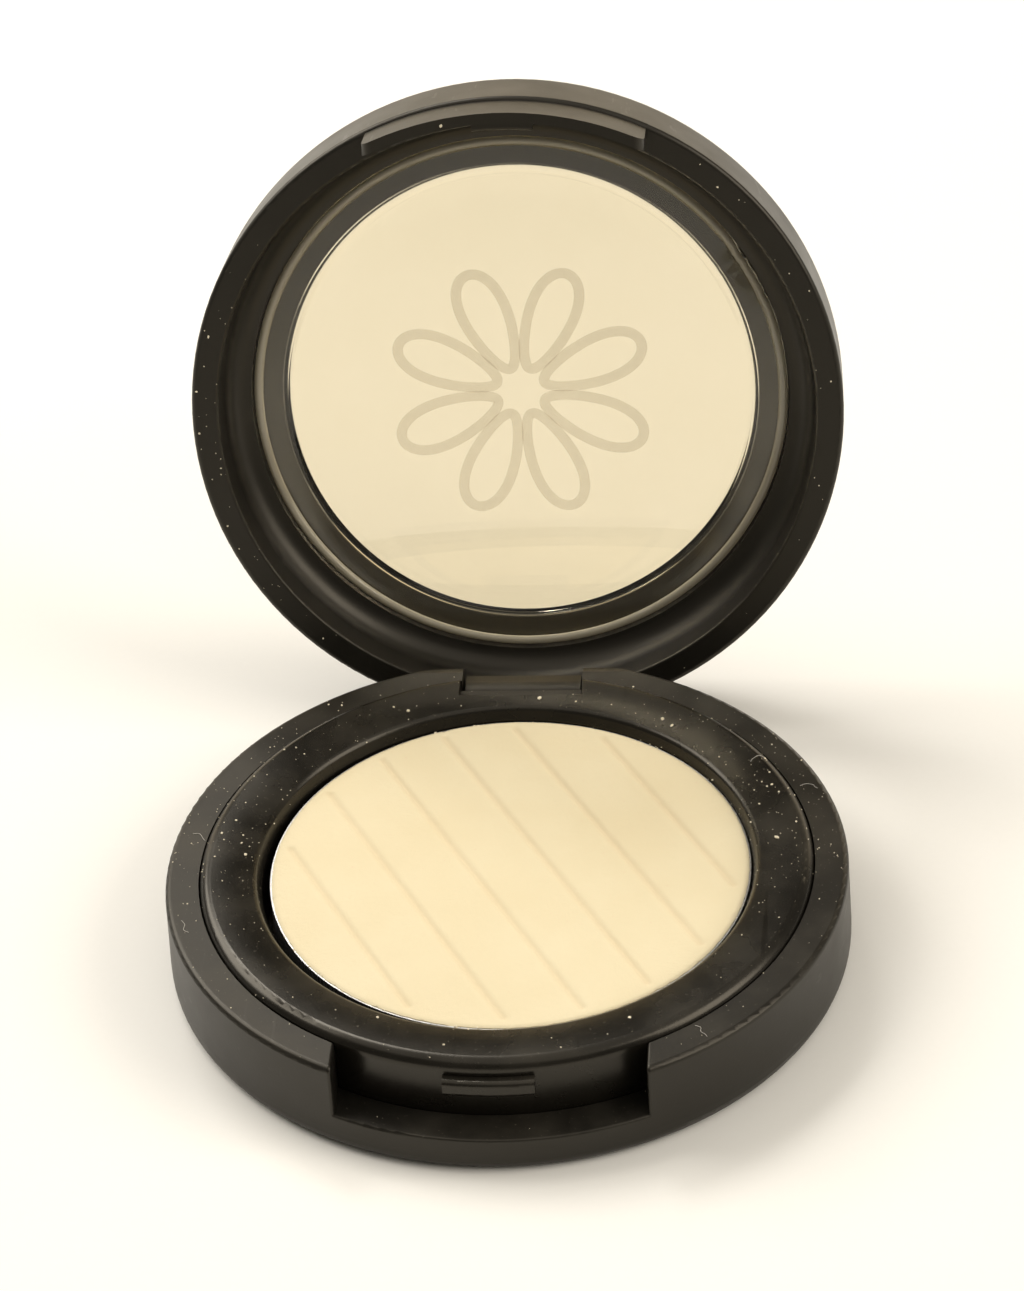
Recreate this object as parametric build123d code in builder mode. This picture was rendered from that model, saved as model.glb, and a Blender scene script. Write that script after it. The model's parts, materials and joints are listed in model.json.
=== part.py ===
"""Round pressed-powder compact with a windowed snap lid, modelled standing open.

Millimetres. +Z is up, +Y points to the hinge, and the origin is the centre of the flat underside.
The lid and its window are described as if the compact were shut, on planes carried round the
hinge pin to where the lid stands open.
"""

import os
from math import asin, degrees, radians, sin, sqrt, tan

from build123d import *

# ---------------------------------------------------------------- base casing
RIM_R = 20.0  # outer radius of the flat rim
WALL_R = 20.15  # outer radius near the foot: the wall drafts outwards going down
BASE_H = 5.7  # height of the flat rim
RIM_EDGE_R = 0.35  # soft outer edge of the rim
WALL_BREAK_Z = 1.3  # below this the wall is upright, and above it drafts in
FOOT_R = 0.9  # soft lower edge of the casing
SOFT_EDGE_R = 0.15  # moulded edges elsewhere
FLOOR = 1.0  # thickness of the casing's floor
SOCKET_R = 18.05  # inside of the casing wall, which the bezel drops into
LABEL_R = 14.0  # recess for the label
LABEL_T = 0.1
LABEL_FIT = 0.05  # gap round the label

# ---------------------------------------------------------------- thumb notch and catch
NOTCH_HALF_W = 8.7
NOTCH_DEPTH = 3.3
CATCH_HALF_W = 2.55
CATCH_R = 18.62  # how far out the catch ridge reaches
CATCH_EDGE_R = 0.3
CATCH_TOP = 5.2
CATCH_BOTTOM = 4.15

# ---------------------------------------------------------------- hinge
HINGE_Y = 18.15
HINGE_Z = 3.55
OPEN_DEG = 104.0  # swing from shut to the open stop
PIN_R = 0.5
PIN_HALF_L = 7.3
PIN_CHAMFER = 0.1
PIN_BORE_R = 0.495  # tight in the casing
KNUCKLE_BORE_R = 0.55  # free in the lid's knuckle
KNUCKLE_R = 1.45
KNUCKLE_HALF_W = 3.6
KNUCKLE_NECK_H = 1.0  # upright front of the knuckle above the pin
KNUCKLE_ROOT_H = 0.5  # how far the knuckle runs into the lid's rim
KNUCKLE_BACK_INSET = 0.05  # the back tapers to the barrel from just inside the lid's outline
GAP_HALF_W = 3.75
GAP_FRONT_Y = 16.6  # back face of the wall that closes the gap off from the pan
GAP_WALL_T = 0.85
GAP_WALL_TOP = 5.7  # level with the rim
LUG_HALF_W = 6.9  # the lugs beside the gap hold the pin
LUG_OVERLAP = 0.3  # how far the lugs run into the casing wall
LUG_TOP = 4.85
STOP_CLEARANCE = 0.03
RELIEF_R = 2.18  # the rim behind the pin is rounded off so that the lid's rim swings past

# ---------------------------------------------------------------- bezel ring
BEZEL_R = 18.0
BEZEL_CREST_Z = 6.15
BEZEL_ROLL_R = 0.7  # outer edge, from the crest down to the seam
BEZEL_CROWN_R = 10.0  # the top falls from the crest to the lip on one broad curve
LIP_R = 14.72  # from here the inner wall drops steeply into the well
LIP_EDGE_R = 0.4
WELL_R = 14.4
WELL_EDGE_Z = 5.0
WELL_FOOT_Z = 1.6
BEZEL_WALL = 0.9
BEZEL_DECK_Z = 4.95  # underside of the ring's top
BEZEL_FIT = 0.06  # gap where the ring is cut away round the hinge walls

# ---------------------------------------------------------------- pan, powder and glue
PAN_X = 0.2  # the pan sits a little off centre in its well, to the right
PAN_Y = 0.13  # and to the back
PAN_R = 14.12
PAN_WALL = 0.22
PAN_FOOT_R = 0.5
PAN_TOP = 5.05
GLUE_R = 10.5
GLUE_T = 0.15
PAN_FOOT = FLOOR + GLUE_T  # height of the pan's underside
POWDER_TOP = 5.16
POWDER_EDGE_R = 0.1

# ---------------------------------------------------------------- lid, as if shut
LID_GAP = 0.1  # between the two rims
LID_Z = BASE_H + LID_GAP  # height of the lid's rim
LID_R = 20.1
LID_H = 5.65
LID_RIM_EDGE_R = 0.3
LID_TOP_EDGE_R = 1.4
LID_INNER_R = 18.45  # inner edge of the flat rim
LID_DRAFT = 0.1  # how far the inner wall leans in on its way up
LID_WALL_DEPTH = 1.9  # where the inner wall starts to curve in
LID_BEND_R = 1.7  # that curve's radius
LID_SEAT_DEPTH = 4.45  # the window's flange rests here
LID_SEAT_R = 16.8
WINDOW_R = 14.95  # opening through the lid's top

# ---------------------------------------------------------------- tab, as if shut
TAB_HALF_W = 8.4
TAB_OUT_R = 19.9
TAB_IN_R = 19.25
TAB_LENGTH = 3.0
TAB_CORNER_R = 0.7
NUB_OVERLAP = 0.2  # how far the nub runs into the tab
NUB_HALF_W = 1.8
NUB_R = 18.75  # how far in the nub reaches
NUB_TOP = 3.95
NUB_BOTTOM = 3.2

# ---------------------------------------------------------------- window, as if shut
PLUG_R = 14.87
PLUG_EDGE_R = 0.4
FLANGE_R = 16.7
FLANGE_DEPTH = 3.98
BEAD_W = 0.55  # rounded bead round the flange's outer edge
BEAD_DEPTH = 3.78
BEAD_GROOVE_W = 0.3  # groove along the bead's foot
BEAD_GROOVE_H = 0.15
DISH_R = 14.3  # the window's inner face is dished a little
DISH_DEPTH = 4.12
DISH_EDGE_W = 0.25  # sloping edge of the dish
OUTER_DEPTH = 5.57  # outer face, just under flush

PAST = 1.0  # cuts run this far past the surfaces they open
NEAR = 0.01  # tolerance for picking edges by their place

SWING = (
    Location((0, HINGE_Y, HINGE_Z))
    * Location((0, 0, 0), (-OPEN_DEG, 0, 0))
    * Location((0, -HINGE_Y, -HINGE_Z))
)


def opened(plane):
    """Carry a plane of the shut compact round the pin to where it stands with the lid open."""
    return Plane(SWING * plane.location)


def stop_height(y):
    """Height of the gap's floor: a plane that lies against the knuckle's back at the open stop."""
    reach = LID_R + STOP_CLEARANCE - HINGE_Y
    swing = radians(OPEN_DEG)
    return HINGE_Z - reach / sin(swing) + (y - HINGE_Y) / tan(swing)


def across(radius, half_width):
    """How far from the centre line a circle is where it is half_width to the side."""
    return sqrt(radius**2 - half_width**2)


def finish(builder, name):
    """Label a finished piece and write its file."""
    builder.part.label = name
    export_step(builder.part, f"parts/{name}.step")


os.makedirs("parts", exist_ok=True)

# Side view planes. Sketch x runs to the back and sketch y runs up.
SIDE = Plane(origin=(0, 0, 0), x_dir=(0, 1, 0), z_dir=(1, 0, 0))
HINGE_SIDE = Plane(origin=(0, HINGE_Y, HINGE_Z), x_dir=(0, 1, 0), z_dir=(1, 0, 0))
FRONT = Plane(origin=(0, 0, 0), x_dir=(1, 0, 0), z_dir=(0, -1, 0))
LID_AXIS = Axis(opened(Plane.XY).origin, opened(Plane.XY).z_dir)


# ---------------------------------------------------------------- base casing
# A thick-walled dish with the thumb notch in front and the hinge gap behind.
with BuildPart() as base_shell:
    with BuildSketch(SIDE):
        with BuildLine():
            Polyline(
                (0, LABEL_T),
                (LABEL_R, LABEL_T),
                (LABEL_R, 0),
                (WALL_R, 0),
                (WALL_R, WALL_BREAK_Z),
                (RIM_R, BASE_H),
                (SOCKET_R, BASE_H),
                (SOCKET_R, FLOOR),
                (0, FLOOR),
                close=True,
            )
        make_face()
    revolve(axis=Axis.Z)
    rings = base_shell.edges().filter_by(GeomType.CIRCLE)
    fillet(rings.group_by(Axis.Z)[0].sort_by(SortBy.RADIUS)[-1], FOOT_R)
    rings = base_shell.edges().filter_by(GeomType.CIRCLE)
    fillet(rings.group_by(Axis.Z)[-1].sort_by(SortBy.RADIUS)[-1], RIM_EDGE_R)

    # Thumb notch, from the bezel outwards.
    with BuildSketch(Plane.XY.offset(BASE_H - NOTCH_DEPTH)):
        with Locations((0, -RIM_R)):
            Rectangle(2 * NOTCH_HALF_W, RIM_R)
        Circle(SOCKET_R, mode=Mode.SUBTRACT)
    extrude(amount=NOTCH_DEPTH + PAST, mode=Mode.SUBTRACT)
    notch_y = -across(RIM_R, NOTCH_HALF_W)
    outer_edges = base_shell.edges().filter_by(lambda edge: edge.center().Y < notch_y + RIM_EDGE_R)
    notch_sides = outer_edges.filter_by(lambda edge: abs(abs(edge.center().X) - NOTCH_HALF_W) < NEAR)
    notch_lip = outer_edges.filter_by(lambda edge: abs(edge.center().Z - BASE_H + NOTCH_DEPTH) < NEAR)
    fillet(notch_sides + notch_lip.sort_by(Axis.Y)[:1], SOFT_EDGE_R)

    # Lugs inside the back wall, and the straight wall that closes the hinge gap off.
    with BuildSketch(Plane.XY.offset(FLOOR)):
        Circle(SOCKET_R + LUG_OVERLAP)
        with Locations((0, GAP_FRONT_Y - GAP_WALL_T + RIM_R / 2)):
            Rectangle(2 * LUG_HALF_W, RIM_R, mode=Mode.INTERSECT)
    extrude(amount=LUG_TOP - FLOOR)
    with BuildSketch(Plane.XY.offset(LUG_TOP)):
        with Locations((0, GAP_FRONT_Y - GAP_WALL_T / 2)):
            Rectangle(2 * GAP_HALF_W, GAP_WALL_T)
    extrude(amount=GAP_WALL_TOP - LUG_TOP)

    # The gap. Its floor slopes to meet the knuckle's back at the open stop.
    with BuildSketch(SIDE):
        with BuildLine():
            Polyline(
                (GAP_FRONT_Y, BASE_H + PAST),
                (GAP_FRONT_Y, stop_height(GAP_FRONT_Y)),
                (RIM_R + PAST, stop_height(RIM_R + PAST)),
                (RIM_R + PAST, BASE_H + PAST),
                close=True,
            )
        make_face()
    extrude(amount=GAP_HALF_W, both=True, mode=Mode.SUBTRACT)

    # Relief along the back of the rim, on a cylinder round the pin. It fades out to each side.
    with BuildSketch(HINGE_SIDE):
        with Locations((RIM_R / 2, RIM_R / 2)):
            Rectangle(RIM_R, RIM_R)
        Circle(RELIEF_R, mode=Mode.SUBTRACT)
    extrude(amount=RIM_R / 2, both=True, mode=Mode.SUBTRACT)

    # Pin bore, from side to side. It breaks out obliquely through the casing's wall.
    with BuildSketch(HINGE_SIDE):
        Circle(PIN_BORE_R)
    extrude(amount=RIM_R / 2, both=True, mode=Mode.SUBTRACT)
finish(base_shell, "base_shell")

# ---------------------------------------------------------------- bezel ring
# A channel-section ring that frames the pan. The catch ridge stands on its skirt inside the notch.
with BuildPart() as pan_bezel:
    with BuildSketch(SIDE):
        with BuildLine():
            roll_r = BEZEL_R - BEZEL_ROLL_R
            roll_z = BEZEL_CREST_Z - BEZEL_ROLL_R
            crown_deg = degrees(asin((roll_r - LIP_R) / BEZEL_CROWN_R))
            Line((BEZEL_R, FLOOR), (BEZEL_R, roll_z))
            CenterArc((roll_r, roll_z), BEZEL_ROLL_R, 0, 90)
            crown = CenterArc((roll_r, BEZEL_CREST_Z - BEZEL_CROWN_R), BEZEL_CROWN_R, 90, crown_deg)
            Polyline(
                crown @ 1,
                (WELL_R, WELL_EDGE_Z),
                (WELL_R, WELL_FOOT_Z),
                (WELL_R + BEZEL_WALL, WELL_FOOT_Z),
                (WELL_R + BEZEL_WALL, BEZEL_DECK_Z),
                (BEZEL_R - BEZEL_WALL, BEZEL_DECK_Z),
                (BEZEL_R - BEZEL_WALL, FLOOR),
                (BEZEL_R, FLOOR),
            )
        make_face()
    revolve(axis=Axis.Z)
    rings = pan_bezel.edges().filter_by(GeomType.CIRCLE)
    fillet(rings.filter_by(lambda edge: abs(edge.radius - LIP_R) < NEAR), LIP_EDGE_R)

    # Catch ridge.
    with BuildSketch(Plane.XY.offset(CATCH_BOTTOM)):
        Circle(CATCH_R)
        Circle(BEZEL_R - BEZEL_WALL / 2, mode=Mode.SUBTRACT)
        with Locations((0, -RIM_R / 2)):
            Rectangle(2 * CATCH_HALF_W, RIM_R, mode=Mode.INTERSECT)
    extrude(amount=CATCH_TOP - CATCH_BOTTOM)
    ridge_edges = pan_bezel.edges().filter_by(lambda edge: edge.center().Y < -(BEZEL_R + CATCH_R) / 2)
    fillet(ridge_edges.filter_by(GeomType.CIRCLE), CATCH_EDGE_R)

    # Cut away round the lugs, and through the top for the gap and its wall.
    cut_y = GAP_FRONT_Y - GAP_WALL_T - BEZEL_FIT
    with BuildSketch(Plane.XY.offset(FLOOR)):
        with Locations((0, cut_y + RIM_R / 2)):
            Rectangle(2 * (LUG_HALF_W + BEZEL_FIT), RIM_R)
    extrude(amount=BEZEL_DECK_Z - FLOOR, mode=Mode.SUBTRACT)
    with BuildSketch(Plane.XY.offset(BEZEL_DECK_Z)):
        with Locations((0, cut_y + RIM_R / 2)):
            Rectangle(2 * (GAP_HALF_W + BEZEL_FIT), RIM_R)
    extrude(amount=BASE_H, mode=Mode.SUBTRACT)
finish(pan_bezel, "pan_bezel")

# ---------------------------------------------------------------- pan, glue, powder, label
pan_centre = Plane.XY.offset(PAN_FOOT).shift_origin((PAN_X, PAN_Y, PAN_FOOT))

with BuildPart() as powder_pan:
    with BuildSketch(pan_centre):
        Circle(PAN_R)
    extrude(amount=PAN_TOP - PAN_FOOT)
    fillet(powder_pan.edges().group_by(Axis.Z)[0], PAN_FOOT_R)
    offset(amount=-PAN_WALL, openings=powder_pan.faces().sort_by(Axis.Z)[-1])
finish(powder_pan, "powder_pan")

with BuildPart() as powder_cake:
    with BuildSketch(pan_centre.offset(PAN_WALL)):
        Circle(PAN_R - PAN_WALL)
    extrude(amount=POWDER_TOP - PAN_FOOT - PAN_WALL)
    fillet(powder_cake.edges().group_by(Axis.Z)[0], PAN_FOOT_R - PAN_WALL)
    fillet(powder_cake.edges().group_by(Axis.Z)[-1], POWDER_EDGE_R)
finish(powder_cake, "powder_cake")

with BuildPart() as pan_adhesive:
    with BuildSketch(Plane.XY.offset(FLOOR)):
        with Locations((PAN_X, PAN_Y)):
            Circle(GLUE_R)
    extrude(amount=GLUE_T)
finish(pan_adhesive, "pan_adhesive")

with BuildPart() as base_label:
    with BuildSketch(Plane.XY):
        Circle(LABEL_R - LABEL_FIT)
    extrude(amount=LABEL_T)
finish(base_label, "base_label")

# ---------------------------------------------------------------- hinge pin
with BuildPart() as hinge_pin:
    with BuildSketch(HINGE_SIDE):
        Circle(PIN_R)
    extrude(amount=PIN_HALF_L, both=True)
    chamfer(hinge_pin.edges().filter_by(GeomType.CIRCLE), PIN_CHAMFER)
finish(hinge_pin, "hinge_pin")

# ---------------------------------------------------------------- lid
# The tab is cut from a ring, so its faces follow the lid's outline. The nub snaps past the catch.
with BuildPart() as tab:
    with BuildSketch(opened(FRONT.shift_origin((0, 0, LID_Z)))):
        RectangleRounded(2 * TAB_HALF_W, 2 * TAB_LENGTH, TAB_CORNER_R)
    extrude(amount=LID_R)
    with BuildSketch(opened(Plane.XY.offset(LID_Z - TAB_LENGTH))):
        Circle(TAB_OUT_R)
        Circle(TAB_IN_R, mode=Mode.SUBTRACT)
    extrude(amount=TAB_LENGTH + LID_RIM_EDGE_R, mode=Mode.INTERSECT)
    with BuildSketch(opened(Plane.XY.offset(NUB_BOTTOM))):
        Circle(TAB_IN_R + NUB_OVERLAP)
        Circle(NUB_R, mode=Mode.SUBTRACT)
        with Locations((0, -LID_R / 2)):
            Rectangle(2 * NUB_HALF_W, LID_R, mode=Mode.INTERSECT)
    extrude(amount=NUB_TOP - NUB_BOTTOM)
    rings = tab.edges().filter_by(GeomType.CIRCLE)
    fillet(rings.filter_by(lambda edge: abs(edge.radius - NUB_R) < NEAR), SOFT_EDGE_R)

# The knuckle hangs from the back of the rim, flush with the lid's outside.
with BuildPart() as knuckle:
    with BuildSketch(opened(SIDE)):
        with BuildLine():
            Polyline(
                (HINGE_Y - KNUCKLE_R, HINGE_Z),
                (HINGE_Y - KNUCKLE_R, HINGE_Z + KNUCKLE_NECK_H),
                (LID_INNER_R + LID_DRAFT, LID_Z + KNUCKLE_ROOT_H),
                (LID_R + PAST, LID_Z + KNUCKLE_ROOT_H),
                (LID_R + PAST, HINGE_Z),
                (LID_R - KNUCKLE_BACK_INSET, HINGE_Z),
                (HINGE_Y + KNUCKLE_R * sqrt(0.5), HINGE_Z - KNUCKLE_R * sqrt(0.5)),
                (HINGE_Y, HINGE_Z),
                close=True,
            )
        make_face()
        with Locations((HINGE_Y, HINGE_Z)):
            Circle(KNUCKLE_R)
    extrude(amount=KNUCKLE_HALF_W, both=True)
    with BuildSketch(opened(Plane.XY)):
        Circle(LID_R)
    extrude(amount=LID_Z + LID_H, mode=Mode.INTERSECT)

with BuildPart() as lid_shell:
    with BuildSketch(opened(SIDE)):
        with BuildLine():
            seat = LID_Z + LID_SEAT_DEPTH
            wall_r = LID_INNER_R - LID_DRAFT
            bend_r = wall_r - LID_BEND_R
            bend_z = LID_Z + LID_WALL_DEPTH
            diagonal = LID_BEND_R * sqrt(0.5)
            bend_end = (LID_SEAT_R, bend_z + across(LID_BEND_R, LID_SEAT_R - bend_r))
            Polyline(
                (LID_R, LID_Z + LID_H),
                (LID_R, LID_Z),
                (LID_INNER_R, LID_Z),
                (wall_r, bend_z),
            )
            ThreePointArc((wall_r, bend_z), (bend_r + diagonal, bend_z + diagonal), bend_end)
            Polyline(
                bend_end,
                (LID_SEAT_R, seat),
                (WINDOW_R, seat),
                (WINDOW_R, LID_Z + LID_H),
                (LID_R, LID_Z + LID_H),
            )
        make_face()
    revolve(axis=LID_AXIS)
    rings = lid_shell.edges().filter_by(GeomType.CIRCLE).group_by(LID_AXIS)
    fillet(rings[-1].sort_by(SortBy.RADIUS)[-1], LID_TOP_EDGE_R)
    rings = lid_shell.edges().filter_by(GeomType.CIRCLE).group_by(LID_AXIS)
    fillet(rings[-1].sort_by(SortBy.RADIUS)[0], SOFT_EDGE_R)
    rings = lid_shell.edges().filter_by(GeomType.CIRCLE).group_by(LID_AXIS)
    fillet(rings[0].sort_by(SortBy.RADIUS)[-1], LID_RIM_EDGE_R)
    rings = lid_shell.edges().filter_by(GeomType.CIRCLE).group_by(LID_AXIS)
    fillet(rings[0].sort_by(SortBy.RADIUS)[0], SOFT_EDGE_R)
    add(tab.part)
    add(knuckle.part)
    with BuildSketch(opened(HINGE_SIDE)):
        Circle(KNUCKLE_BORE_R)
    extrude(amount=LID_R, both=True, mode=Mode.SUBTRACT)
finish(lid_shell, "lid_shell")

# ---------------------------------------------------------------- window
# A clear plug that fills the lid's opening, on a flange with a rounded bead.
with BuildPart() as window_lens:
    with BuildSketch(opened(SIDE)):
        with BuildLine():
            bead_r = FLANGE_R - BEAD_W
            bead_mid = FLANGE_R - BEAD_W / 2
            bead_z = LID_Z + BEAD_DEPTH + BEAD_W / 2
            Polyline(
                (0, LID_Z + OUTER_DEPTH),
                (PLUG_R, LID_Z + OUTER_DEPTH),
                (PLUG_R, LID_Z + LID_SEAT_DEPTH),
                (FLANGE_R, LID_Z + LID_SEAT_DEPTH),
                (FLANGE_R, bead_z),
            )
            ThreePointArc((FLANGE_R, bead_z), (bead_mid, bead_z - BEAD_W / 2), (bead_r, bead_z))
            Polyline(
                (bead_r, bead_z),
                (bead_r, LID_Z + FLANGE_DEPTH + BEAD_GROOVE_H),
                (bead_r - BEAD_GROOVE_W, LID_Z + FLANGE_DEPTH),
                (DISH_R + DISH_EDGE_W, LID_Z + FLANGE_DEPTH),
                (DISH_R, LID_Z + DISH_DEPTH),
                (0, LID_Z + DISH_DEPTH),
                (0, LID_Z + OUTER_DEPTH),
            )
        make_face()
    revolve(axis=LID_AXIS)
    rings = window_lens.edges().filter_by(GeomType.CIRCLE).group_by(LID_AXIS)
    fillet(rings[-1], PLUG_EDGE_R)
finish(window_lens, "window_lens")
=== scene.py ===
"""Looks of the open powder compact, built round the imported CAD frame. Metres, in the frame of the CAD.

The lid's pieces are described as if the compact were shut and are then swung round the hinge to
where the lid stands open, as the CAD does it.
"""

import json
import math
import random

import bmesh
import bpy
import numpy as np
from mathutils import Matrix, Vector
from mathutils.bvhtree import BVHTree


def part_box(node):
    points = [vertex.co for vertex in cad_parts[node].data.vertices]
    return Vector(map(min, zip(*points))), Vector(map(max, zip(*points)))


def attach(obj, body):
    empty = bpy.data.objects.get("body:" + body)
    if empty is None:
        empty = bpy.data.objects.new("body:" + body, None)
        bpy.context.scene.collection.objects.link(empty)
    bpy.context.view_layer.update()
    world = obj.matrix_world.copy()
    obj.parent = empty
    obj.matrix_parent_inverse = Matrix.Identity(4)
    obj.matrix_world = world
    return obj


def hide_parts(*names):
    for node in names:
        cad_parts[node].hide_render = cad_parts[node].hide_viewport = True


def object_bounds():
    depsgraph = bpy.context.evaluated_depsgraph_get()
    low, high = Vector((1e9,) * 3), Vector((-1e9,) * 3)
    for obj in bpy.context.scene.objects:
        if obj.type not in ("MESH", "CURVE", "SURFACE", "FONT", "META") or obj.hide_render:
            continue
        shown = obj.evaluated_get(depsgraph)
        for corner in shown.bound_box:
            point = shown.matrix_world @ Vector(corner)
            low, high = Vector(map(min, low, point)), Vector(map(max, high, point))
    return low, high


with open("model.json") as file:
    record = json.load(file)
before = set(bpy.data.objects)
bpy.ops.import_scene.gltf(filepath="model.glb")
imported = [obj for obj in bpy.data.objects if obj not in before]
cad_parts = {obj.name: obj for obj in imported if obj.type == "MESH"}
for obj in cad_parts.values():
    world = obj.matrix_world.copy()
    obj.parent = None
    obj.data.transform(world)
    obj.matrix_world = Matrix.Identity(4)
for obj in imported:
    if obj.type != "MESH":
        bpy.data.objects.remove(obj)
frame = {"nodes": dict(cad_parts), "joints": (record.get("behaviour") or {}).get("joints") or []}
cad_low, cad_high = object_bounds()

MM = 0.001
UP = Vector((0, 0, 1))
PAINTED_LINE_SHADE = "painted_line_shade"  # attribute of the cake's mesh: 1 at the bottom of a debossed line, where it drives painted shade (a darker powder colour)

# ---------------------------------------------------------------- the frame's own sizes and places
hinge = frame["joints"][0]
HINGE_POINT = Vector(hinge["pos_m"])
OPEN_ANGLE = math.radians(max(hinge["range_deg"]))
SWING = (
    Matrix.Translation(HINGE_POINT)
    @ Matrix.Rotation(-OPEN_ANGLE, 4, Vector(hinge["axis"]))
    @ Matrix.Translation(-HINGE_POINT)
)


def shut_box(node):
    """Lowest and highest corner of a lid node with the lid shut."""
    back = SWING.inverted()
    points = [back @ v.co for v in frame["nodes"][node].data.vertices]
    low = Vector([min(p[i] for p in points) for i in range(3)])
    high = Vector([max(p[i] for p in points) for i in range(3)])
    return low, high


powder_low, powder_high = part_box("powder_cake")
pan_low, pan_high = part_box("powder_pan")
_, bezel_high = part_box("pan_bezel")
base_low, base_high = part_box("base_shell")
lens_low, lens_high = shut_box("window_lens")
_, lid_high = shut_box("lid_shell")

# ---------------------------------------------------------------- materials


class Nodes:
    """A material's node tree with short helpers."""

    def __init__(self, name):
        self.material = bpy.data.materials.new(name)
        self.material.use_nodes = True
        self.tree = self.material.node_tree
        self.shader = self.tree.nodes["Principled BSDF"]
        self.output = self.tree.nodes["Material Output"]
        self.coords = self.tree.nodes.new("ShaderNodeTexCoord").outputs["Object"]

    def add(self, kind, **values):
        node = self.tree.nodes.new("ShaderNode" + kind)
        for key, value in values.items():
            setattr(node, key, value)
        return node

    def link(self, source, target):
        self.tree.links.new(source, target)

    def set(self, **values):
        for key, value in values.items():
            self.shader.inputs[key.replace("_", " ")].default_value = value

    def noise(self, size, detail=3.0, roughness=0.55, stretch=None):
        """Noise whose features are about size metres across."""
        node = self.add("TexNoise")
        node.inputs["Scale"].default_value = 1.0 / size
        node.inputs["Detail"].default_value = detail
        node.inputs["Roughness"].default_value = roughness
        source = self.coords
        if stretch:
            mapping = self.add("Mapping")
            mapping.inputs["Scale"].default_value = stretch
            self.link(source, mapping.inputs["Vector"])
            source = mapping.outputs["Vector"]
        self.link(source, node.inputs["Vector"])
        return node.outputs["Fac"]

    def spread(self, source, low, high, to_low=0.0, to_high=1.0):
        """Map source from low..high to to_low..to_high, clamped."""
        node = self.add("MapRange")
        for key, value in (("From Min", low), ("From Max", high), ("To Min", to_low), ("To Max", to_high)):
            node.inputs[key].default_value = value
        self.link(source, node.inputs["Value"])
        return node.outputs["Result"]

    def maths(self, operation, a, b):
        node = self.add("Math", operation=operation)
        for socket, value in zip(node.inputs, (a, b)):
            if isinstance(value, (int, float)):
                socket.default_value = value
            else:
                self.link(value, socket)
        return node.outputs["Value"]

    def mix(self, factor, first, second):
        """Mix two colours, each a tuple or a socket."""
        node = self.add("Mix", data_type="RGBA")
        self.link(factor, node.inputs["Factor"])
        for socket, value in ((node.inputs["A"], first), (node.inputs["B"], second)):
            if isinstance(value, tuple):
                socket.default_value = (*value, 1.0)
            else:
                self.link(value, socket)
        return node.outputs["Result"]

    def colour(self, source):
        self.link(source, self.shader.inputs["Base Color"])

    def rough(self, source):
        self.link(source, self.shader.inputs["Roughness"])

    def bump(self, *layers):
        """Stack bump layers, each (height socket, height in metres, strength)."""
        normal = None
        for height, distance, strength in layers:
            node = self.add("Bump")
            node.inputs["Distance"].default_value = distance
            node.inputs["Strength"].default_value = strength
            self.link(height, node.inputs["Height"])
            if normal:
                self.link(normal, node.inputs["Normal"])
            normal = node.outputs["Normal"]
        self.link(normal, self.shader.inputs["Normal"])

    def facing_up(self, low=0.5, high=0.95):
        """1 where the surface faces up at rest, 0 where it doesn't."""
        geometry = self.add("NewGeometry")
        split = self.add("SeparateXYZ")
        self.link(geometry.outputs["Normal"], split.inputs["Vector"])
        return self.spread(split.outputs["Z"], low, high)


def black_plastic(name, roughness, grain, dust):
    """Moulded black plastic: fine mould grain, rubbed patches, hairline scratches and settled powder dust."""
    n = Nodes(name)
    patches = n.noise(5 * MM, detail=4)
    fine = n.noise(0.16 * MM, detail=2)
    scratches = n.spread(n.noise(0.5 * MM, detail=2, stretch=(1.0, 0.04, 1.0)), 0.66, 0.72)
    flecks = n.spread(n.noise(0.22 * MM, detail=3, roughness=0.7), 0.66, 0.74)
    body = n.mix(n.spread(patches, 0.35, 0.7), (0.0050, 0.0044, 0.0034), (0.0075, 0.0066, 0.0050))
    haze = n.maths("MULTIPLY", n.spread(patches, 0.42, 0.75), n.facing_up())
    dusty = n.mix(n.maths("MULTIPLY", haze, dust), body, (0.36, 0.32, 0.25))
    settled = n.maths("MULTIPLY", n.maths("MULTIPLY", flecks, n.facing_up()), dust * 4)
    n.colour(n.mix(settled, dusty, (0.62, 0.56, 0.44)))
    rubbed = n.spread(patches, 0.3, 0.75, roughness - 0.045, roughness + 0.055)
    n.rough(n.maths("SUBTRACT", rubbed, n.maths("MULTIPLY", scratches, 0.05)))
    n.set(IOR=1.47, Specular_Tint=(1.0, 0.93, 0.80, 1.0))
    n.bump((fine, 0.012 * MM, grain), (scratches, 0.004 * MM, 0.25))
    return n.material


def clear_plastic(name, clearness, haze):
    """Clear styrene with a warm tint and fine handling marks. Below full clearness, that share of the surface
    is a diffuse cream colour: painted glow standing in for light running along an edge.
    """
    n = Nodes(name)
    smear = n.noise(4 * MM, detail=4)
    scratches = n.spread(n.noise(0.35 * MM, detail=2, stretch=(1.0, 0.03, 0.2)), 0.67, 0.73)
    n.colour(n.mix(n.spread(smear, 0.3, 0.8), (0.73, 0.67, 0.52), (0.715, 0.655, 0.50)))
    smeared = n.spread(smear, 0.45, 0.8, haze, 1.8 * haze + 0.03)
    n.rough(n.maths("ADD", smeared, n.maths("MULTIPLY", scratches, 0.05)))
    n.set(IOR=1.54, Transmission_Weight=clearness)
    n.bump((scratches, 0.002 * MM, 0.1))
    return n.material


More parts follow.
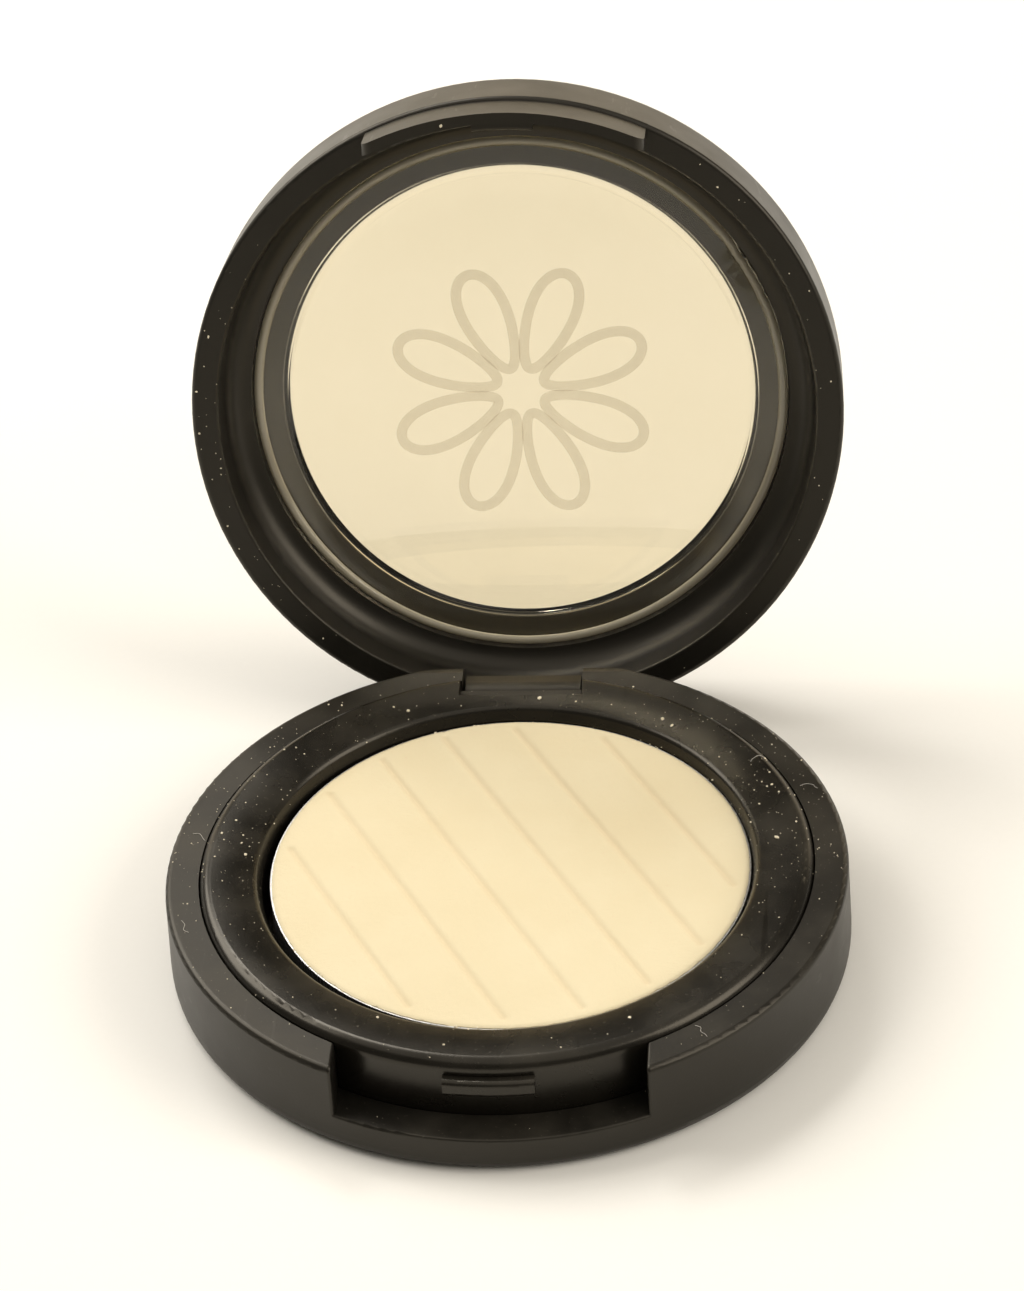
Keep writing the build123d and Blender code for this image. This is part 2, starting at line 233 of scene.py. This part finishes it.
def pressed_powder():
    """Pressed powder: matt, with fine grains, a few darker and lighter specks and pale pressed patches, plus
    painted shade: a darker colour at the bottoms of the debossed lines.
    """
    n = Nodes("pressed_powder")
    broad = n.noise(6 * MM, detail=5)
    grain = n.noise(0.09 * MM, detail=4, roughness=0.75)
    specks = n.spread(n.noise(0.3 * MM, detail=2, roughness=0.8), 0.68, 0.76)
    body = n.mix(n.spread(broad, 0.3, 0.7), (0.735, 0.645, 0.43), (0.765, 0.685, 0.475))
    mottled = n.mix(n.spread(grain, 0.35, 0.75, 0.0, 0.35), body, (0.79, 0.64, 0.43))
    speckled = n.mix(n.maths("MULTIPLY", specks, 0.35), mottled, (0.72, 0.54, 0.38))
    # Painted shade: the powder's colour is darkened towards the bottom of each debossed line.
    lines = n.add("Attribute", attribute_name=PAINTED_LINE_SHADE).outputs["Fac"]
    n.colour(n.mix(n.maths("MULTIPLY", lines, 0.4), speckled, (0.66, 0.53, 0.34)))
    n.set(Roughness=0.92, IOR=1.35, Sheen_Weight=0.12, Sheen_Roughness=0.6)
    n.bump((grain, 0.03 * MM, 0.55), (broad, 0.05 * MM, 0.15))
    return n.material


def loose_powder(name, tint):
    """Crumbs and dust that have fallen from the cake."""
    n = Nodes(name)
    grain = n.noise(0.03 * MM, detail=3)
    n.colour(n.mix(grain, tint, tuple(0.82 * c for c in tint)))
    n.set(Roughness=0.95, IOR=1.35)
    n.bump((grain, 0.006 * MM, 0.6))
    return n.material


def window_print():
    """Thin matt ink, uneven where the screen laid it down."""
    n = Nodes("window_print_ink")
    uneven = n.noise(0.8 * MM, detail=4)
    n.colour(n.mix(n.spread(uneven, 0.3, 0.7), (0.66, 0.58, 0.44), (0.71, 0.63, 0.49)))
    n.rough(n.spread(uneven, 0.3, 0.7, 0.55, 0.7))
    n.set(Alpha=0.18)
    n.bump((n.noise(0.05 * MM), 0.003 * MM, 0.4))
    return n.material


def drawn_metal(name, tone, roughness):
    """Bright drawn metal with fine marks along the draw."""
    n = Nodes(name)
    marks = n.noise(0.08 * MM, detail=3, stretch=(1.0, 1.0, 0.08))
    n.colour(n.mix(marks, tone, tuple(0.8 * c for c in tone)))
    n.rough(n.spread(marks, 0.3, 0.7, roughness - 0.06, roughness + 0.08))
    n.set(Metallic=1.0)
    n.bump((marks, 0.004 * MM, 0.3))
    return n.material


def glue():
    n = Nodes("pan_glue")
    lumps = n.noise(0.9 * MM, detail=3)
    n.colour(n.mix(lumps, (0.70, 0.66, 0.52), (0.80, 0.77, 0.66)))
    n.rough(n.spread(lumps, 0.3, 0.7, 0.25, 0.45))
    n.bump((lumps, 0.05 * MM, 0.5))
    return n.material


def film_label():
    """Blank satin film with a slight orange-peel and a few rubbed spots."""
    n = Nodes("blank_film_label")
    peel = n.noise(0.5 * MM, detail=3)
    rub = n.spread(n.noise(3 * MM, detail=4), 0.55, 0.75)
    n.colour(n.mix(rub, (0.045, 0.043, 0.040), (0.075, 0.072, 0.067)))
    n.rough(n.spread(peel, 0.3, 0.7, 0.28, 0.4))
    n.bump((peel, 0.004 * MM, 0.25))
    return n.material


def pale_floor():
    n = Nodes("pale_floor")
    tooth = n.noise(0.4 * MM, detail=3)
    n.colour(n.mix(tooth, (0.885, 0.875, 0.845), (0.905, 0.895, 0.865)))
    n.set(Roughness=0.85)
    n.bump((tooth, 0.01 * MM, 0.1))
    return n.material


def give(obj, material):
    """Make material the piece's only one."""
    obj.data.materials.clear()
    obj.data.materials.append(material)


# ---------------------------------------------------------------- mesh helpers


def make_object(name, mesh, body, material, sharp_deg=35):
    """Wrap a mesh as a piece that rides on a body."""
    obj = bpy.data.objects.new(name, mesh)
    bpy.context.scene.collection.objects.link(obj)
    mesh.shade_smooth()
    mesh.set_sharp_from_angle(angle=math.radians(sharp_deg))
    give(obj, material)
    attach(obj, body)
    return obj


def mesh_from(name, points, faces):
    mesh = bpy.data.meshes.new(name)
    mesh.from_pydata([tuple(p) for p in points], [], faces)
    bm = bmesh.new()
    bm.from_mesh(mesh)
    bmesh.ops.recalc_face_normals(bm, faces=bm.faces)
    bm.to_mesh(mesh)
    bm.free()
    return mesh


def arc(centre, radius, start_deg, end_deg, steps):
    """Points on an arc in a profile, as (r, z)."""
    angles = np.radians(np.linspace(start_deg, end_deg, steps))
    return [(centre[0] + radius * math.cos(a), centre[1] + radius * math.sin(a)) for a in angles]


# ---------------------------------------------------------------- powder cake

# A plain set of parallel debossed lines, evenly spaced across the cake, in millimetres.
LINE_COUNT = 6
LINE_DEG = -60.0
LINE_SPACING = 4.2
LINE_WIDTH = 0.20
LINE_DEPTH = 0.13
LINE_MARGIN = 0.8  # how far short of the cake's edge each line stops

# The cake's crumbled edge, in millimetres unless it says otherwise.
CAKE_LAP = 0.12  # how far the powder laps on to the pan's wall
LAP_T = 0.17  # thickness of that lap
RIPPLES = (9, 17, 31, 53, 84)  # waves round the edge that break it up
RIPPLE_SPREAD = 0.0035  # share of the radius
EDGE_FROM = 0.985  # share of the radius where the edge starts to fall
EDGE_FALL = 0.07
CHIPS_FROM = 0.972  # share of the radius where chips start
CHIP_DEPTH = 0.10
GRAIN_HEIGHT = 0.004


def groove_depth(x, y, edge_r):
    """How deep the debossed lines are at points on the cake, millimetres."""
    c, s = math.cos(math.radians(LINE_DEG)), math.sin(math.radians(LINE_DEG))
    along, aside = x * c + y * s, y * c - x * s
    depth = np.zeros_like(x)
    for k in range(LINE_COUNT):
        offset = (k - (LINE_COUNT - 1) / 2) * LINE_SPACING
        half = math.sqrt((edge_r - LINE_MARGIN) ** 2 - offset**2)
        gap = np.hypot(aside - offset, np.maximum(0, abs(along) - half))
        depth = np.maximum(depth, LINE_DEPTH * np.exp(-((gap / LINE_WIDTH) ** 2)))
    return depth


def make_powder():
    """The cake: a fine disc of relief on a plain drum, crumbled a little where it meets the pan."""
    radius = (powder_high.x - powder_low.x) / 2 / MM + CAKE_LAP
    top, foot = powder_high.z / MM, powder_low.z / MM
    centre_x = (powder_high.x + powder_low.x) / 2 / MM
    centre_y = (powder_high.y + powder_low.y) / 2 / MM
    count = 240
    rng = np.random.default_rng(11)
    axis = np.linspace(-1, 1, count)
    a, b = np.meshgrid(axis, axis)
    # Square grid to disc, keeping the rings square to the rim.
    larger = np.maximum(abs(a), abs(b))
    length = np.maximum(np.hypot(a, b), 1e-9)
    x, y = a * larger / length, b * larger / length
    r = np.hypot(x, y)
    angle = np.arctan2(y, x)
    waves = [rng.uniform(0.2, 1) * np.sin(k * angle + rng.uniform(0, 6.28)) for k in RIPPLES]
    ripple = sum(waves) / len(RIPPLES)
    edge = np.clip((r - EDGE_FROM) / (1 - EDGE_FROM), 0, 1)
    grain = rng.normal(0, GRAIN_HEIGHT, r.shape)
    near_edge = np.clip((r - CHIPS_FROM) / (1 - CHIPS_FROM), 0, 1)
    chips = np.clip(ripple * 1.6 - 0.25, 0, 1) * near_edge
    lines = groove_depth(x * radius, y * radius, radius)
    z = top - lines + grain - EDGE_FALL * edge**2 - CHIP_DEPTH * chips
    spread = 1 + RIPPLE_SPREAD * ripple * edge
    points = [
        ((centre_x + px * radius * q) * MM, (centre_y + py * radius * q) * MM, pz * MM)
        for px, py, pz, q in zip(x.ravel(), y.ravel(), z.ravel(), spread.ravel())
    ]
    faces = []
    for i in range(count - 1):
        for j in range(count - 1):
            k = i * count + j
            faces.append((k, k + 1, k + count + 1, k + count))
    # The grid's outline, which the drum below hangs from.
    loop = list(range(count))
    loop += [i * count + count - 1 for i in range(1, count)]
    loop += [(count - 1) * count + j for j in range(count - 2, -1, -1)]
    loop += [i * count for i in range(count - 2, 0, -1)]
    inner = (powder_high.x - powder_low.x) / 2 / MM - 0.02
    drum = inner / radius
    levels = ((top - LAP_T, 1.0), (top - LAP_T - 0.02, drum), (foot + 0.3, drum), (foot, drum - 0.02))
    previous = loop
    for height, scale in levels:
        start = len(points)
        for k in loop:
            px, py = points[k][0] / MM - centre_x, points[k][1] / MM - centre_y
            points.append(((centre_x + px * scale) * MM, (centre_y + py * scale) * MM, height * MM))
        ring = list(range(start, start + len(loop)))
        for m in range(len(loop)):
            after = (m + 1) % len(loop)
            faces.append((previous[m], previous[after], ring[after], ring[m]))
        previous = ring
    faces.append(tuple(previous))
    mesh = mesh_from("pressed_cake", points, faces)
    # Painted shade for the debossed lines: 1 at a line's bottom, read by the powder's material to darken its
    # colour.
    shade = np.zeros(len(points))
    shade[: lines.size] = lines.ravel() / LINE_DEPTH
    mesh.attributes.new(PAINTED_LINE_SHADE, "FLOAT", "POINT").data.foreach_set("value", shade)
    cake = make_object("pressed_cake", mesh, "base", pressed_powder(), sharp_deg=60)
    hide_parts("powder_cake")


# ---------------------------------------------------------------- window


def lathe(profile, steps, adjust=None):
    """Turn a closed (r, z) profile whose ends lie on the axis. adjust moves a point by its angle."""
    points, faces = [], []
    ends = [Vector((0, 0, profile[0][1])), Vector((0, 0, profile[-1][1]))]
    body = profile[1:-1]
    for s in range(steps):
        a = 2 * math.pi * s / steps
        for r, z in body:
            if adjust:
                r, z = adjust(r, z, a)
            points.append(Vector((r * math.cos(a), r * math.sin(a), z)))
    size = len(body)
    first, last = len(points), len(points) + 1
    points += ends
    for s in range(steps):
        t = (s + 1) % steps
        for k in range(size - 1):
            faces.append((s * size + k, t * size + k, t * size + k + 1, s * size + k + 1))
        faces.append((first, t * size, s * size))
        faces.append((last, s * size + size - 1, t * size + size - 1))
    return points, faces


# Sizes of the window, in millimetres from its inner side and its outer edge.
SEAT_T = 0.66  # flange's thickness, from the bead to the lid's seat
BEAD_R = 0.28
FLANGE_W = 1.83
PLUG_EDGE_R = 0.4
DECK_DROP = 0.2  # the flange's face lies this far below the top of the bead
DISH_W = 0.57  # from the plug's edge in to the dish
DISH_DROP = 0.14
GATE_DEG = -28  # where the moulding's gate was trimmed off
GATE_HALF_DEG = 9


def make_window():
    """The clear window: plug, dished inner face, and a flange with a rounded bead and a trimmed gate."""
    flange_r = lens_high.x / MM
    inner, outer = lens_low.z / MM, lens_high.z / MM
    seat = inner + SEAT_T
    bead = BEAD_R
    plug_r = flange_r - FLANGE_W
    soft = PLUG_EDGE_R
    deck = inner + DECK_DROP
    profile = [(0, outer)]
    profile += [(plug_r * q, outer) for q in (0.3, 0.6, 0.85)]
    profile += arc((plug_r - soft, outer - soft), soft, 90, 0, 8)
    profile += [(plug_r, seat), (flange_r - 0.05, seat), (flange_r, seat - 0.05)]
    profile += arc((flange_r - bead, inner + bead), bead, 0, -180, 16)
    profile += [(flange_r - 2 * bead - 0.04, deck - 0.02), (flange_r - 2 * bead - 0.2, deck)]
    dish_r = plug_r - DISH_W
    dish = deck + DISH_DROP
    profile += [(dish_r + 0.26, deck), (dish_r + 0.2, deck + 0.015), (dish_r, dish)]
    profile += [(dish_r * q, dish) for q in (0.8, 0.5, 0.25)]
    profile += [(0, dish)]
    rng = np.random.default_rng(5)
    rough_edge = rng.normal(0, 1, 64)

    def trimmed(r, z, angle):
        """Cut the bead flat where the moulding gate was, with a torn edge."""
        off = (math.degrees(angle) - GATE_DEG + 180) % 360 - 180
        near = max(0.0, 1 - (off / GATE_HALF_DEG) ** 4)
        if r > flange_r - 2.2 * bead and near > 0:
            torn = rough_edge[int((off + GATE_HALF_DEG) * 3) % len(rough_edge)]
            r -= near * (0.10 + 0.035 * torn)
            z += near * (0.05 + 0.03 * torn) * (1 if z < deck else 0)
        return r, z

    steps = 288
    points, faces = lathe(profile, steps, trimmed)
    mesh = mesh_from("clear_window", [SWING @ (p * MM) for p in points], faces)
    polished = clear_plastic("clear_window_plastic", 1.0, 0.012)
    window = make_object("clear_window", mesh, "lid", polished, sharp_deg=28)
    # The flange's and bead's materials are less clear. Their diffuse cream share is painted glow, standing in
    # for light caught inside the flange and bead; the bead has the most.
    window.data.materials.append(clear_plastic("clear_flange_plastic_painted_glow", 0.97, 0.07))
    window.data.materials.append(clear_plastic("clear_bead_plastic_painted_glow", 0.62, 0.05))
    back = SWING.inverted()
    for face in mesh.polygons:
        middle = back @ face.center
        reach = math.hypot(middle.x, middle.y) / MM
        if reach > flange_r - 2 * bead - 0.04:
            face.material_index = 2
        elif reach > plug_r + 0.05:
            face.material_index = 1
    window.visible_shadow = False
    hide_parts("window_lens")


def make_print():
    """A plain rosette of open petals, printed on the outside of the window."""
    petals, steps = 8, 48
    stroke, thickness = 0.66 * MM, 0.012 * MM
    inner_r, outer_r, half_width = 1.6 * MM, 8.2 * MM, 1.75 * MM
    height = lens_high.z + 0.001 * MM
    points, faces = [], []
    for petal in range(petals):
        turn = 2 * math.pi * (petal + 0.5) / petals
        outline = []
        for k in range(steps):
            t = 2 * math.pi * k / steps
            reach = (inner_r + outer_r) / 2 - (outer_r - inner_r) / 2 * math.cos(t)
            side = half_width * math.sin(t) * (0.55 + 0.45 * (reach - inner_r) / (outer_r - inner_r))
            outline.append(Vector((reach, side, 0)))
        start = len(points)
        for k, point in enumerate(outline):
            tangent = (outline[(k + 1) % steps] - outline[k - 1]).normalized()
            across = Vector((-tangent.y, tangent.x, 0)) * stroke / 2
            for side, level in ((-1, 0), (1, 0), (1, 1), (-1, 1)):
                p = Matrix.Rotation(turn, 3, "Z") @ (point + side * across)
                points.append(SWING @ Vector((p.x, p.y, height + level * thickness)))
        for k in range(steps):
            a, b = start + 4 * k, start + 4 * ((k + 1) % steps)
            for m in range(4):
                n = (m + 1) % 4
                faces.append((a + m, a + n, b + n, b + m))
    mesh = mesh_from("window_rosette_print", points, faces)
    rosette = make_object("window_rosette_print", mesh, "lid", window_print())
    rosette.visible_shadow = False


# ---------------------------------------------------------------- dust, crumbs and lint


def surface_below(nodes, to_world=Matrix.Identity(4)):
    """A search tree of the nodes' surfaces, in the frame whose own up is to_world's z."""
    back = to_world.inverted()
    points, faces = [], []
    for node in nodes:
        mesh = frame["nodes"][node].data
        start = len(points)
        points += [back @ v.co for v in mesh.vertices]
        faces += [tuple(start + i for i in p.vertices) for p in mesh.polygons]
    return BVHTree.FromPolygons(points, faces)


def crumb(rng, radius):
    """One small broken grain: a squashed, knocked-about icosphere."""
    bm = bmesh.new()
    bmesh.ops.create_icosphere(bm, subdivisions=1, radius=1)
    stretch = Vector((rng.uniform(0.7, 1.3), rng.uniform(0.7, 1.3), rng.uniform(0.45, 0.8)))
    turn = Matrix.Rotation(rng.uniform(0, 6.28), 3, "Z")
    points = [turn @ (v.co * stretch) * radius * rng.uniform(0.78, 1.15) for v in bm.verts]
    faces = [tuple(v.index for v in f.verts) for f in bm.faces]
    bm.free()
    return points, faces


def scatter(name, tree, places, body, to_world, direction, material, seed):
    """Drop crumbs at (x, y, radius) places on to a surface and join them into one piece."""
    rng = random.Random(seed)
    points, faces = [], []
    for x, y, radius in places:
        origin = Vector((x, y, 0)) - direction * 0.05
        hit, _, _, _ = tree.ray_cast(origin, direction)
        if hit is None:
            continue
        bits, bit_faces = crumb(rng, radius)
        start = len(points)
        lift = hit - direction * radius * 0.3
        points += [to_world @ (lift + b) for b in bits]
        faces += [tuple(start + i for i in f) for f in bit_faces]
    mesh = mesh_from(name, points, faces)
    make_object(name, mesh, body, material)


def ring_places(rng, count, inner, outer, sizes, arcs):
    """Random places on a ring. arcs is a list of (middle in degrees, spread, share)."""
    places = []
    for _ in range(count):
        pick = rng.random()
        for middle, spread, share in arcs:
            pick -= share
            if pick < 0:
                break
        angle = math.radians(rng.gauss(middle, spread))
        r = math.sqrt(rng.uniform(inner**2, outer**2))
        size = min(sizes[1], sizes[0] * math.exp(rng.gauss(0, 0.5)))
        places.append((r * math.cos(angle), r * math.sin(angle), size))
    return places


def make_dust():
    """Powder crumbs on the base's ring and rim, along the pan's edge, and on the lid's rim."""
    rng = random.Random(3)
    rim_r = base_high.x
    well_r = (pan_high.x - pan_low.x) / 2
    pan_x, pan_y = (pan_high.x + pan_low.x) / 2, (pan_high.y + pan_low.y) / 2
    tree = surface_below(["base_shell", "pan_bezel", "powder_pan"])
    pale = loose_powder("loose_powder", (0.86, 0.78, 0.60))
    arcs = [(165, 24, 0.36), (22, 20, 0.36), (-60, 60, 0.16), (90, 50, 0.12)]
    places = ring_places(rng, 430, well_r + 0.3 * MM, rim_r - 0.4 * MM, (0.026 * MM, 0.085 * MM), arcs)
    scatter("powder_dust_base", tree, places, "base", Matrix.Identity(4), -UP, pale, 21)
    clump_sizes = (0.09 * MM, 0.15 * MM)
    clumps = ring_places(rng, 14, well_r + 1.1 * MM, bezel_high.x - 0.9 * MM, clump_sizes, arcs)
    scatter("powder_clumps_ring", tree, clumps, "base", Matrix.Identity(4), -UP, pale, 24)
    edge_arcs = [(45, 35, 0.5), (-90, 60, 0.2), (180, 60, 0.3)]
    places = ring_places(rng, 170, well_r - 0.28 * MM, well_r + 0.12 * MM, (0.04 * MM, 0.10 * MM), edge_arcs)
    places = [(x + pan_x, y + pan_y, size) for x, y, size in places]
    scatter("powder_crumbs_pan_edge", tree, places, "base", Matrix.Identity(4), -UP, pale, 22)
    lid_tree = surface_below(["lid_shell"], SWING)
    lid_arcs = [(175, 22, 0.75), (0, 40, 0.25)]
    lid_sizes = (0.03 * MM, 0.10 * MM)
    places = ring_places(rng, 60, lid_high.x - 1.6 * MM, lid_high.x - 0.3 * MM, lid_sizes, lid_arcs)
    scatter("powder_dust_lid", lid_tree, places, "lid", SWING, UP, pale, 23)


def make_lint():
    """A few short fibres caught on the rim."""
    rng = random.Random(8)
    tree = surface_below(["base_shell", "pan_bezel"])
    material = loose_powder("lint_fibre", (0.75, 0.72, 0.66))
    for index, angle_deg in enumerate((172, 20, 31, 196, -52)):
        angle = math.radians(angle_deg)
        r = base_high.x - rng.uniform(0.7, 2.6) * MM
        heading = rng.uniform(0, 6.28)
        x, y = r * math.cos(angle), r * math.sin(angle)
        curve = bpy.data.curves.new(f"lint_{index + 1}", "CURVE")
        curve.dimensions = "3D"
        curve.bevel_depth = 0.011 * MM
        curve.bevel_resolution = 2
        spline = curve.splines.new("NURBS")
        knots = []
        for _ in range(7):
            hit, _, _, _ = tree.ray_cast(Vector((x, y, 0.05)), -UP)
            if hit is None:
                break
            knots.append(hit + UP * (0.02 + rng.uniform(0, 0.05)) * MM)
            heading += rng.uniform(-1.1, 1.1)
            x += 0.22 * MM * math.cos(heading)
            y += 0.22 * MM * math.sin(heading)
        spline.points.add(len(knots) - 1)
        for point, knot in zip(spline.points, knots):
            point.co = (*knot, 1)
        spline.order_u = 3
        spline.use_endpoint_u = True
        fibre = bpy.data.objects.new(curve.name, curve)
        bpy.context.scene.collection.objects.link(fibre)
        curve.materials.append(material)
        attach(fibre, "base")


# ---------------------------------------------------------------- stage, light and camera


def make_stage():
    points = [Vector((x, y, 0)) for x, y in ((-3, -3), (3, -3), (3, 3), (-3, 3))]
    mesh = mesh_from("floor", points, [(0, 1, 2, 3)])
    floor = bpy.data.objects.new("floor", mesh)
    bpy.context.scene.collection.objects.link(floor)
    give(floor, pale_floor())


def softbox(name, location, target, size, power, colour):
    """A rectangular area light that looks at target."""
    light = bpy.data.lights.new(name, "AREA")
    light.shape = "RECTANGLE"
    light.size, light.size_y = size
    light.energy = power
    light.color = colour
    obj = bpy.data.objects.new(name, light)
    obj.location = location
    obj.rotation_euler = (Vector(target) - Vector(location)).to_track_quat("-Z", "Y").to_euler()
    bpy.context.scene.collection.objects.link(obj)


def make_light():
    world = bpy.data.worlds.new("soft_room")
    bpy.context.scene.world = world
    world.use_nodes = True
    background = world.node_tree.nodes["Background"]
    background.inputs["Color"].default_value = (1.0, 0.93, 0.80, 1)
    background.inputs["Strength"].default_value = 0.18
    middle = (0, 0, 0.01)
    softbox("softbox_above", (0.10, -0.05, 0.80), middle, (1.2, 1.2), 2.8, (1.0, 0.95, 0.87))
    softbox("softbox_left", (-0.50, 0.30, 0.50), middle, (0.55, 0.50), 4.6, (1.0, 0.95, 0.87))
    softbox("softbox_right", (0.62, -0.12, 0.42), middle, (0.50, 0.50), 3.3, (1.0, 0.93, 0.82))
    softbox("softbox_back", (0.0, 0.75, 0.14), middle, (1.3, 0.26), 1.2, (1.0, 0.82, 0.55))
    softbox("window_back", (-0.185, 0.435, 0.55), middle, (0.18, 0.18), 1.0, (1.0, 0.97, 0.92))


# Camera: degrees from the direction straight at the hinge, metres to what it aims at, lens in millimetres.
VIEW_YAW = -5.28
VIEW_PITCH = -36.12
VIEW_ROLL = -3.64
VIEW_DISTANCE = 0.2137
VIEW_LENS = 106.2
AIM_SIDE = 0.0285  # of the base's width, right of the middle
AIM_HEIGHT = 0.525  # of the whole height


def make_camera():
    camera = bpy.data.objects.new("camera", bpy.data.cameras.new("camera"))
    bpy.context.scene.collection.objects.link(camera)
    yaw, pitch, roll = (math.radians(v) for v in (VIEW_YAW, VIEW_PITCH, VIEW_ROLL))
    forward = Vector((math.sin(yaw) * math.cos(pitch), math.cos(yaw) * math.cos(pitch), math.sin(pitch)))
    right = forward.cross(UP).normalized()
    up = right.cross(forward)
    rolled_right = right * math.cos(roll) + up * math.sin(roll)
    rolled_up = up * math.cos(roll) - right * math.sin(roll)
    turn = Matrix((rolled_right, rolled_up, -forward)).transposed()
    aim = Vector((AIM_SIDE * (base_high.x - base_low.x), 0, AIM_HEIGHT * cad_high.z))
    camera.matrix_world = Matrix.Translation(aim - forward * VIEW_DISTANCE) @ turn.to_4x4()
    camera.data.sensor_width = 36
    camera.data.lens = VIEW_LENS
    camera.data.clip_start = 0.005
    bpy.context.scene.camera = camera


# ---------------------------------------------------------------- make everything

nodes = frame["nodes"]
shell_plastic = black_plastic("black_shell_plastic", 0.40, 0.30, 0.05)
give(nodes["base_shell"], shell_plastic)
give(nodes["lid_shell"], black_plastic("black_lid_plastic", 0.37, 0.30, 0.0))
give(nodes["pan_bezel"], black_plastic("black_bezel_plastic", 0.27, 0.18, 0.045))
give(nodes["powder_pan"], drawn_metal("pan_metal", (0.78, 0.77, 0.75), 0.3))
give(nodes["hinge_pin"], drawn_metal("pin_steel", (0.60, 0.60, 0.61), 0.32))
give(nodes["pan_adhesive"], glue())
give(nodes["base_label"], film_label())

make_camera()
make_stage()
make_light()
make_powder()
make_window()
make_print()
make_dust()
make_lint()

bpy.context.scene.view_settings.view_transform = "Standard"
